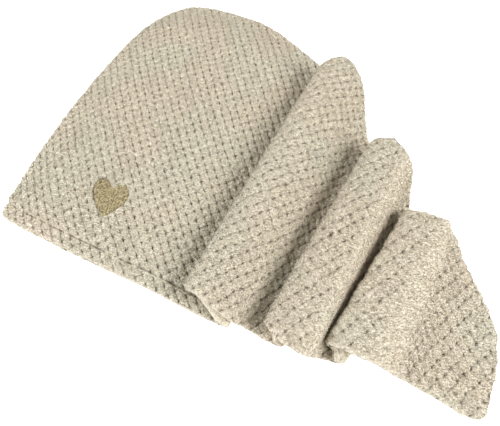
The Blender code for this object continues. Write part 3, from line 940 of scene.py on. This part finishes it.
def lattice_shade(tree, place, cell):
    """How dark the painted shade in the pits and grooves is: 1 in a pit's middle, and 0 on the tufts."""
    fray = add_node(tree, "ShaderNodeTexNoise", {"Vector": place, "Scale": 1 / FRAY_SIZE})
    middle = FRAY / 2
    high, low = middle + 0.5, middle - 0.5
    centred = fray.outputs["Color"]
    for operation, *values in (("MULTIPLY_ADD", (FRAY, FRAY, 0.0), cell),
                               ("WRAP", (high, high, 0.5), (low, low, -0.5)),
                               ("SUBTRACT", (middle, middle, 0.0))):
        moved = add_node(tree, "ShaderNodeVectorMath", enumerate([centred, *values]), operation=operation)
        centred = moved.outputs[0]
    stretched = add_node(tree, "ShaderNodeVectorMath", {0: centred, 1: (1 / PIT_WIDE, 1 / PIT_LONG, 0.0)},
                         operation="MULTIPLY")
    far = add_node(tree, "ShaderNodeVectorMath", {0: stretched.outputs[0]}, operation="LENGTH")
    sides = add_node(tree, "ShaderNodeVectorMath", {0: centred}, operation="ABSOLUTE")
    beside = add_node(tree, "ShaderNodeSeparateXYZ", {"Vector": sides.outputs[0]}).outputs
    fades = []
    for value, start, end, dark in (
            (far.outputs["Value"], *PIT_FADE, 1.0),
            (beside["X"], 0.0, GROOVE_WIDE, GROOVE_SHADE),
            (beside["Y"], GROOVE_FADE, GROOVE_REACH, 1.0),
            (beside["Y"], 0.0, GROOVE_WIDE, CROSS_GROOVE * GROOVE_SHADE),
            (beside["X"], GROOVE_FADE, GROOVE_REACH, 1.0)):
        fade = add_node(tree, "ShaderNodeMapRange",
                        {"Value": value, "From Min": start, "From Max": end, "To Min": dark, "To Max": 0.0},
                        interpolation_type="SMOOTHSTEP")
        fades.append(fade.outputs["Result"])
    darkest, *grooves = fades
    for groove, its_end in zip(grooves[0::2], grooves[1::2]):
        line = add_node(tree, "ShaderNodeMath", {0: groove, 1: its_end}, operation="MULTIPLY")
        deeper = add_node(tree, "ShaderNodeMath", {0: darkest, 1: line.outputs[0]}, operation="MAXIMUM")
        darkest = deeper.outputs[0]
    return darkest


def coral_fleece():
    """Coral fleece, polyester knitted and raised to a dense pile, then embossed with a diamond
    lattice. The pile scatters light, so it is matt; its colour is pale, with painted shade darkening it
    down in the pits and grooves and along the creases at the hem's seam and round the heart."""
    material, tree, shader = new_material("coral_fleece", roughness=0.95, sheen=0.2, specular=0.1)
    place = add_node(tree, "ShaderNodeTexCoord").outputs["Object"]
    cell = add_node(tree, "ShaderNodeAttribute", attribute_name="cell").outputs["Vector"]
    strength = add_node(tree, "ShaderNodeSeparateXYZ", {"Vector": cell}).outputs["Z"]
    # The cell's third number carries the painted shade: up to 1 in the pits and grooves, from 1 to 2 in the
    # creases
    full = add_node(tree, "ShaderNodeMath", {0: strength, 1: 1.0}, operation="MINIMUM")
    crease = add_node(tree, "ShaderNodeMapRange", {"Value": strength, "From Min": 1.0, "From Max": 2.0})
    shaded = add_node(tree, "ShaderNodeMath", {0: lattice_shade(tree, place, cell), 1: full.outputs[0]},
                      operation="MULTIPLY")
    pit = add_node(tree, "ShaderNodeMath", {0: shaded.outputs[0], 1: crease.outputs["Result"]},
                   operation="MAXIMUM").outputs[0]
    # Random warm and cool lumps, then specks of single tufts, then the painted shade of pits, grooves and
    # creases
    tints = ((mottle(tree, place, TINT_SIZE, TINT_SPAN), FLEECE_WARM),
             (mottle(tree, place, SPECK_SIZE, SPECK_SPAN, detail=3.0, roughness=0.65), FLEECE_SHADE),
             (pit, FLEECE_PIT_SHADE))
    colour = linear(FLEECE_COOL)
    for share, tint in tints:
        mixed = add_node(tree, "ShaderNodeMix", {"Factor": share, "A": colour, "B": linear(tint)},
                         data_type="RGBA")
        colour = mixed.outputs[2]
    tree.links.new(colour, shader.inputs["Base Color"])
    yarn = add_node(tree, "ShaderNodeTexNoise",
                    {"Vector": place, "Scale": 1 / YARN_SIZE, "Detail": 4.0, "Roughness": 0.7})
    height = add_node(tree, "ShaderNodeMath", {0: pit, 1: PIT_BUMP, 2: yarn.outputs["Fac"]},
                      operation="MULTIPLY_ADD")
    bump = add_node(tree, "ShaderNodeBump",
                    {"Height": height.outputs[0], "Strength": 1.0, "Distance": YARN_BUMP})
    tree.links.new(bump.outputs["Normal"], shader.inputs["Normal"])
    return material


def satin_thread():
    """Rayon embroidery thread in satin stitch: parallel twisted strands with a low sheen."""
    material, tree, shader = new_material("satin_stitch_thread", roughness=0.55, sheen=0.15, specular=0.35)
    place = add_node(tree, "ShaderNodeTexCoord").outputs["Object"]
    colour = add_node(tree, "ShaderNodeMix", {"Factor": mottle(tree, place, STRAND_SIZE, STRAND_SPAN),
                                              "A": linear(THREAD_DARK), "B": linear(THREAD_LIGHT)},
                      data_type="RGBA")
    tree.links.new(colour.outputs[2], shader.inputs["Base Color"])
    return material


def add_camera():
    data = bpy.data.cameras.new("camera")
    data.sensor_width = CAMERA_FILM
    data.lens = CAMERA_LENS
    data.clip_start = 0.01
    camera = add_object("camera", data)
    camera.location = CAMERA_PLACE
    aim = Vector(CAMERA_AIM) - Vector(CAMERA_PLACE)
    camera.rotation_euler = aim.to_track_quat("-Z", "Y").to_euler()
    bpy.context.scene.camera = camera


def add_light(name, place, size, power, code):
    data = bpy.data.lights.new(name, "AREA")
    data.size = size
    data.energy = power
    data.color = linear(code)[:3]
    lamp = add_object(name, data)
    lamp.location = place
    lamp.rotation_euler = (-Vector(place)).to_track_quat("-Z", "Y").to_euler()


def add_studio():
    """A white floor that runs out of sight, a white surround and soft lamps."""
    material, tree, shader = new_material("white_floor", roughness=0.9, sheen=0.0, specular=0.1)
    shader.inputs["Base Color"].default_value = linear(FLOOR_WHITE)
    shader.inputs["Emission Color"].default_value = linear(FLOOR_WHITE)
    shader.inputs["Emission Strength"].default_value = FLOOR_GLOW
    far = FLOOR_REACH
    mesh = mesh_from("floor", [(-far, -far, 0), (far, -far, 0), (far, far, 0), (-far, far, 0)],
                     [(0, 1, 2, 3)])
    mesh.materials.append(material)
    add_object("floor", mesh)
    world = bpy.data.worlds.new("surround")
    world.use_nodes = True
    sky = world.node_tree.nodes["Background"]
    sky.inputs["Color"].default_value = linear(SURROUND)
    sky.inputs["Strength"].default_value = SURROUND_STRENGTH
    bpy.context.scene.world = world
    bpy.context.scene.view_settings.view_transform = "Standard"
    bpy.context.scene.view_settings.look = "Medium High Contrast"
    for lamp in LAMPS:
        add_light(*lamp)


def growing_tree(name, *sockets):
    """An empty node tree for a modifier, with its named inputs, and its two end nodes."""
    tree = bpy.data.node_groups.new(name, "GeometryNodeTree")
    tree.interface.new_socket("Geometry", in_out="INPUT", socket_type="NodeSocketGeometry")
    for socket in sockets:
        tree.interface.new_socket(socket, in_out="INPUT", socket_type="NodeSocketFloat")
    tree.interface.new_socket("Geometry", in_out="OUTPUT", socket_type="NodeSocketGeometry")
    return tree, tree.nodes.new("NodeGroupInput"), tree.nodes.new("NodeGroupOutput")


def finish_tree(tree, instances, material, end):
    """Turns the instances into plain faces of one material."""
    real = add_node(tree, "GeometryNodeRealizeInstances", {"Geometry": instances})
    smooth = add_node(tree, "GeometryNodeSetShadeSmooth", {"Geometry": real.outputs["Geometry"]})
    painted = add_node(tree, "GeometryNodeSetMaterial",
                       {"Geometry": smooth.outputs["Geometry"], "Material": material})
    tree.links.new(painted.outputs["Geometry"], end.inputs["Geometry"])
    return tree


def pile_tree(material):
    """Scatters loops of yarn over the faces of a sheet, as thickly as its pile attribute says."""
    tree, start, end = growing_tree("pile_loops", "Least gap", "Loops per area", "Width", "Height", "Lean")
    thickness = add_node(tree, "GeometryNodeInputNamedAttribute", {"Name": "pile"}, data_type="FLOAT")
    scatter = add_node(tree, "GeometryNodeDistributePointsOnFaces",
                       {"Mesh": start.outputs["Geometry"], "Distance Min": start.outputs["Least gap"],
                        "Density Max": start.outputs["Loops per area"],
                        "Density Factor": thickness.outputs["Attribute"], "Seed": 7},
                       distribute_method="POISSON")
    loop = add_node(tree, "GeometryNodeMeshCone",
                    {"Vertices": 3, "Radius Top": 0.0, "Radius Bottom": 0.5, "Depth": 1.0},
                    fill_type="NGON")
    most = start.outputs["Lean"]
    back = add_node(tree, "ShaderNodeMath", {0: most, 1: -1.0}, operation="MULTIPLY").outputs[0]
    lean_low = add_node(tree, "ShaderNodeCombineXYZ", {"X": back, "Y": back})
    lean_high = add_node(tree, "ShaderNodeCombineXYZ", {"X": most, "Y": most, "Z": 2 * pi})
    lean = add_node(tree, "FunctionNodeRandomValue",
                    {0: lean_low.outputs[0], 1: lean_high.outputs[0], "Seed": 3},
                    data_type="FLOAT_VECTOR")
    turn = add_node(tree, "FunctionNodeEulerToRotation", {"Euler": lean.outputs[0]})
    upright = add_node(tree, "FunctionNodeRotateRotation",
                       {"Rotation": scatter.outputs["Rotation"], "Rotate By": turn.outputs[0]},
                       rotation_space="LOCAL")
    width = start.outputs["Width"]
    size = add_node(tree, "ShaderNodeCombineXYZ", {"X": width, "Y": width, "Z": start.outputs["Height"]})
    vary = add_node(tree, "FunctionNodeRandomValue", {0: LEAST_LOOP, 1: GREATEST_LOOP, "Seed": 5},
                    data_type="FLOAT_VECTOR")
    sized = add_node(tree, "ShaderNodeVectorMath", {0: size.outputs[0], 1: vary.outputs[0]},
                     operation="MULTIPLY")
    loops = add_node(tree, "GeometryNodeInstanceOnPoints",
                     {"Points": scatter.outputs["Points"], "Instance": loop.outputs["Mesh"],
                      "Rotation": upright.outputs[0], "Scale": sized.outputs[0]})
    return finish_tree(tree, loops.outputs["Instances"], material, end)


def stitch_tree(material):
    """Lays a thread on every point of a mesh, by the turn and reach kept with each point."""
    tree, start, end = growing_tree("satin_stitches", "Thickness")
    turn = add_node(tree, "GeometryNodeInputNamedAttribute", {"Name": "turn"}, data_type="FLOAT_VECTOR")
    reach = add_node(tree, "GeometryNodeInputNamedAttribute", {"Name": "reach"}, data_type="FLOAT")
    thread = add_node(tree, "GeometryNodeMeshUVSphere", {"Segments": 6, "Rings": 5, "Radius": 0.5})
    thick = start.outputs["Thickness"]
    size = add_node(tree, "ShaderNodeCombineXYZ",
                    {"X": thick, "Y": reach.outputs["Attribute"], "Z": thick})
    rotation = add_node(tree, "FunctionNodeEulerToRotation", {"Euler": turn.outputs["Attribute"]})
    threads = add_node(tree, "GeometryNodeInstanceOnPoints",
                       {"Points": start.outputs["Geometry"], "Instance": thread.outputs["Mesh"],
                        "Rotation": rotation.outputs[0], "Scale": size.outputs[0]})
    return finish_tree(tree, threads.outputs["Instances"], material, end)


def grow(name, base, tree, **sizes):
    """The plain mesh that a node tree grows from a base mesh."""
    carrier = add_object(name, base)
    modifier = carrier.modifiers.new("growth", "NODES")
    modifier.node_group = tree
    for item in tree.interface.items_tree:
        size = item.name.replace(" ", "_").lower()
        if size in sizes:
            modifier[item.identifier] = sizes[size]
    grown = carrier.evaluated_get(bpy.context.evaluated_depsgraph_get())
    mesh = bpy.data.meshes.new_from_object(grown)
    mesh.name = name
    carrier.modifiers.remove(modifier)
    bpy.data.objects.remove(carrier)
    return mesh


def loop_map(mesh, corners_each):
    """Flat map for small repeated bodies: each has a square of its own."""
    count = len(mesh.loops) // corners_each
    wide = int(np.ceil(np.sqrt(count)))
    body = np.repeat(np.arange(count), corners_each)
    square = np.stack([body % wide, body // wide], axis=1)
    spots = np.array([(0.25, 0.25), (0.75, 0.25), (0.5, 0.75)])
    lay_flat(mesh, (square + spots[np.arange(len(body)) % 3]) / wide)


def stitch_points(front):
    """A mesh of the middles of the heart's stitches, which run end to end in columns."""
    outline = heart_outline(FINE_OUTLINE)
    up = np.array([sin(-STITCH_TURN), cos(STITCH_TURN)])
    side = np.array([up[1], -up[0]])
    centre = outline.mean(axis=0)
    steps = np.arange(-STITCH_REACH * HEART_HEIGHT, STITCH_REACH * HEART_HEIGHT, STITCH_CHECK)
    middles, turns, reaches = [], [], []
    columns = int(STITCH_REACH * HEART_WIDTH / THREAD)
    for column in range(-columns, columns + 1):
        line = centre + side * column * THREAD + up * steps[:, None]
        inside = outline_distance(line, outline) > 0
        start = None
        for place, within in enumerate(np.append(inside, False)):
            if within and start is None:
                start = place
            elif not within and start is not None:
                low, high = steps[start], steps[place - 1]
                cuts = np.arange(low - STITCH_LENGTH * chance(column, start, seed=9), high, STITCH_LENGTH)
                for first in cuts:
                    ends = np.clip([first, first + STITCH_LENGTH], low, high)
                    if ends[1] - ends[0] < THREAD:
                        continue
                    tips = [centre + side * column * THREAD + up * end for end in ends]
                    heights = [cloth_height(front, *tip) for tip in tips]
                    lift = STITCH_LIFT[0] + STITCH_LIFT[1] * chance(column, round(first / THREAD), seed=11)
                    middles.append((*(tips[0] + tips[1]) / 2, sum(heights) / 2 + lift))
                    reaches.append(STITCH_FILL * (ends[1] - ends[0]))
                    turns.append(((heights[1] - heights[0]) / (ends[1] - ends[0]), 0, STITCH_TURN))
                start = None
    mesh = mesh_from("stitch_points", middles, [])
    keep_values(mesh, "turn", turns)
    keep_values(mesh, "reach", reaches)
    return mesh


def mesh_points(mesh):
    points = np.empty(3 * len(mesh.vertices))
    mesh.vertices.foreach_get("co", points)
    return points.reshape(-1, 3)


def build_towel():
    fleece, thread = coral_fleece(), satin_thread()
    layouts = {"front": Layout(1, FINE_STEP), "back": Layout(-1, BACK_STEP)}
    meshes = {}
    for name in SHEETS:
        cut, face = name.split("_")
        meshes[name] = lay_sheet(name, layouts[face], CUTS[cut])
    hood = meshes["hood_front"]
    front = BVHTree.FromPolygons([v.co for v in hood.vertices], [tuple(p.vertices) for p in hood.polygons])
    meshes["heart_ground"] = heart_ground(front)
    tree = pile_tree(fleece)
    for cut in CUTS:
        pile = grow(cut + "_pile", meshes[cut + "_front"], tree, least_gap=LOOP_GAP,
                    loops_per_area=LOOPS_PER_METRE, width=LOOP_WIDTH, height=LOOP_HEIGHT, lean=LOOP_LEAN)
        loop_map(pile, LOOP_CORNERS)
        meshes[cut + "_pile"] = pile
    meshes["heart_stitches"] = grow("heart_stitches", stitch_points(front), stitch_tree(thread),
                                    thickness=STITCH_FILL * THREAD)

    points = np.concatenate([mesh_points(mesh) for mesh in meshes.values()])
    middle = (points.min(axis=0) + points.max(axis=0)) / 2
    shift = [(cad_box[0][k] + cad_box[1][k]) / 2 - middle[k] for k in (0, 1)]
    pieces = {}
    for name, mesh in meshes.items():
        mesh.transform(Matrix.Translation((*shift, 0)))
        sewn = STANDS_FOR[name] == "heart_patch"
        pieces[name] = add_piece(mesh, thread if sewn else fleece,
                                 STANDS_FOR[name])
    return pieces


add_camera()
add_studio()
pieces = build_towel()
